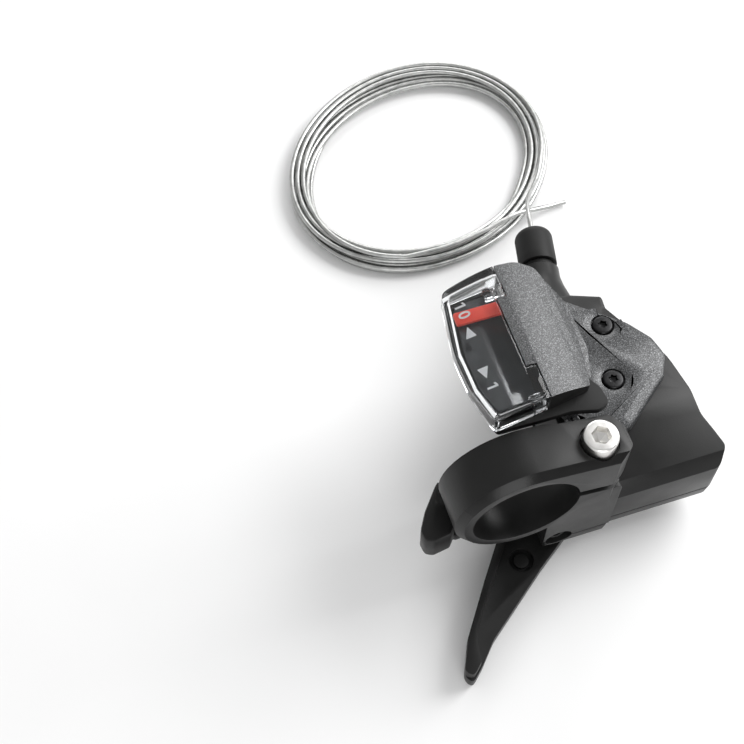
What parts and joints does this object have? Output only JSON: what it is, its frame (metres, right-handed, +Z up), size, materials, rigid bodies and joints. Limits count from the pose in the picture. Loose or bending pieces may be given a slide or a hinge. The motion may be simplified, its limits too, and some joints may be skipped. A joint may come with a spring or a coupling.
{
  "type": "thumb shifter",
  "caption": "Bicycle thumb shifter with handlebar clamp, thumb and release levers, sliding gear indicator, barrel adjuster and a coiled inner cable.",
  "frame": {"origin": "middle of the footprint of the shifter without its free cable, on the surface that it lies on", "axes": "+X forwards across the handlebar, +Y along the handlebar towards the stem, +Z up"},
  "size_m": [0.0704, 0.1631, 0.0503],
  "materials": {
    "black": "satin black moulded nylon",
    "matt_black": "matt black moulded nylon",
    "grey": "dark grey paint with fine metallic flakes",
    "steel": "plain stainless steel",
    "dark_steel": "blackened steel screws",
    "brass": "turned brass",
    "clear": "clear polycarbonate",
    "scale": "dark grey glossy panel with white marks",
    "red": "red plastic needle",
    "nylon": "white nylon drum",
    "wire": "stranded steel cable"
  },
  "bodies": {
    "housing": {"upper_housing": "black", "base_cover": "black", "cable_port_plug": "matt_black", "cover_plate": "grey", "cover_screw_1": "dark_steel", "cover_screw_2": "dark_steel", "base_screw_1": "dark_steel", "base_screw_2": "dark_steel", "base_screw_3": "dark_steel", "clamp_bracket": "black", "clamp_bolt": "steel", "clamp_nut": "brass", "barrel_insert": "brass", "barrel_spring": "steel", "main_axle": "steel", "cable_inside": "wire", "drum_spring": "steel", "index_roller": "steel", "index_spring": "steel", "holding_pawl_pin": "steel", "holding_pawl_spring": "steel", "thumb_lever_spring": "steel", "release_spring": "steel", "indicator_base": "matt_black", "indicator_shell": "grey", "indicator_lens": "clear", "indicator_scale": "scale", "needle_rail": "steel", "needle_spring": "steel", "indicator_wire": "wire", "cable_lead": "wire", "cable_coil": "wire", "cable_tail": "wire"},
    "thumb_lever": {"thumb_lever": "black", "drive_plate": "steel", "drive_pawl_pin": "steel"},
    "drive_pawl": {"drive_pawl": "steel"},
    "release_lever": {"release_lever": "black"},
    "holding_pawl": {"holding_pawl": "steel"},
    "drum": {"cable_drum": "nylon", "ratchet_wheel": "steel", "index_plate": "steel", "cable_head": "brass", "cable_wrap": "wire"},
    "needle": {"indicator_needle": "red"},
    "barrel": {"barrel_adjuster": "matt_black"}
  },
  "joints": [
    {"name": "thumb_lever_swing", "type": "hinge", "parent": "housing", "child": "thumb_lever", "pos_m": [0.01433, -0.00664, 0.0025], "axis": [0, 0, 1], "range_deg": [0, 45], "stiffness_Nm_per_rad": 0.05, "springref_deg": -20.05},
    {"name": "drive_pawl_swing", "type": "hinge", "parent": "thumb_lever", "child": "drive_pawl", "pos_m": [0.02651, -0.00835, 0.0123], "axis": [0, 0, 1], "range_deg": [-12, 0], "stiffness_Nm_per_rad": 0.001, "springref_deg": 11.46},
    {"name": "release_lever_swing", "type": "hinge", "parent": "housing", "child": "release_lever", "pos_m": [0.01433, -0.00664, 0.008], "axis": [0, 0, 1], "range_deg": [-14, 0], "stiffness_Nm_per_rad": 0.05, "springref_deg": 20.05},
    {"name": "holding_pawl_swing", "type": "hinge", "parent": "housing", "child": "holding_pawl", "pos_m": [0.01854, -0.0182, 0.0123], "axis": [0, 0, 1], "range_deg": [-12, 0]},
    {"name": "drum_turn", "type": "hinge", "parent": "housing", "child": "drum", "pos_m": [0.01433, -0.00664, 0.016], "axis": [0, 0, 1], "range_deg": [0, 154.3]},
    {"name": "needle_slide", "type": "slide", "parent": "housing", "child": "needle", "axis": [0, -1, 0], "range_m": [0, 0.01705]},
    {"name": "barrel_turn", "type": "hinge", "parent": "housing", "child": "barrel", "pos_m": [0.01587, 0.04227, 0.0175], "axis": [0.225, 0.9744, 0], "range_deg": [-180, 180]}
  ],
  "couplings": [
    {"joint": "needle_slide", "follows": "drum_turn", "m_per_rad": 0.00631},
    {"joint": "holding_pawl_swing", "follows": "release_lever_swing", "ratio": 0.85}
  ]
}
